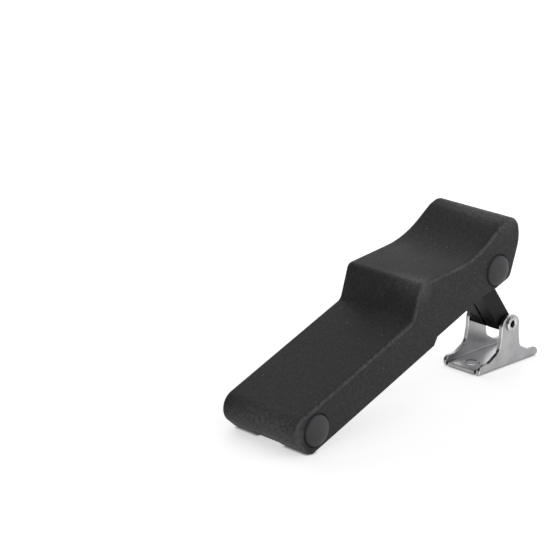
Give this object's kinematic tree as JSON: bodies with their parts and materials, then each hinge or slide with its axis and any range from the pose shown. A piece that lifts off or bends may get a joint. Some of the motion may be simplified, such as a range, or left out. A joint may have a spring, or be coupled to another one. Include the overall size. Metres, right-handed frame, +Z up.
{
  "type": "over-centre draw latch",
  "caption": "Over-centre draw latch: soft black rubber handle with a raised thumb grip and a hook pin at its tip, hinged by a moulded link to a bright stamped steel base bracket.",
  "frame": {"origin": "middle of the base bracket's flat mounting face", "axes": "+X from the hook end of the handle towards its grip, +Y from the near cheek to the far cheek along the pins, +Z up out of the mounting surface"},
  "size_m": [0.1261, 0.0362, 0.0558],
  "materials": {
    "handle_rubber": "matt moulded rubber",
    "pin_nylon": "fine satin",
    "link_nylon": "satin moulded, glass filled",
    "bracket_steel": "bright tumbled stainless",
    "rivet_steel": "bright"
  },
  "bodies": {
    "base": {"base_bracket": "bracket_steel", "base_rivet": "rivet_steel"},
    "link_arm": {"link": "link_nylon"},
    "handle": {"handle_body": "handle_rubber", "pivot_pin": "pin_nylon", "pivot_pin_cap": "pin_nylon", "hook_pin": "pin_nylon", "hook_pin_cap": "pin_nylon"}
  },
  "joints": [
    {"name": "link_swing", "type": "hinge", "parent": "base", "child": "link_arm", "pos_m": [0, 0, 0.0149], "axis": [0, 1, 0], "range_deg": [0, 143.3]},
    {"name": "handle_turn", "type": "hinge", "parent": "link_arm", "child": "handle", "pos_m": [-0.0189, 0, 0.03947], "axis": [0, 1, 0], "range_deg": [-122.1, 0]}
  ],
  "couplings": [
    {"joint": "handle_turn", "follows": "link_swing", "ratio": -0.8514}
  ]
}
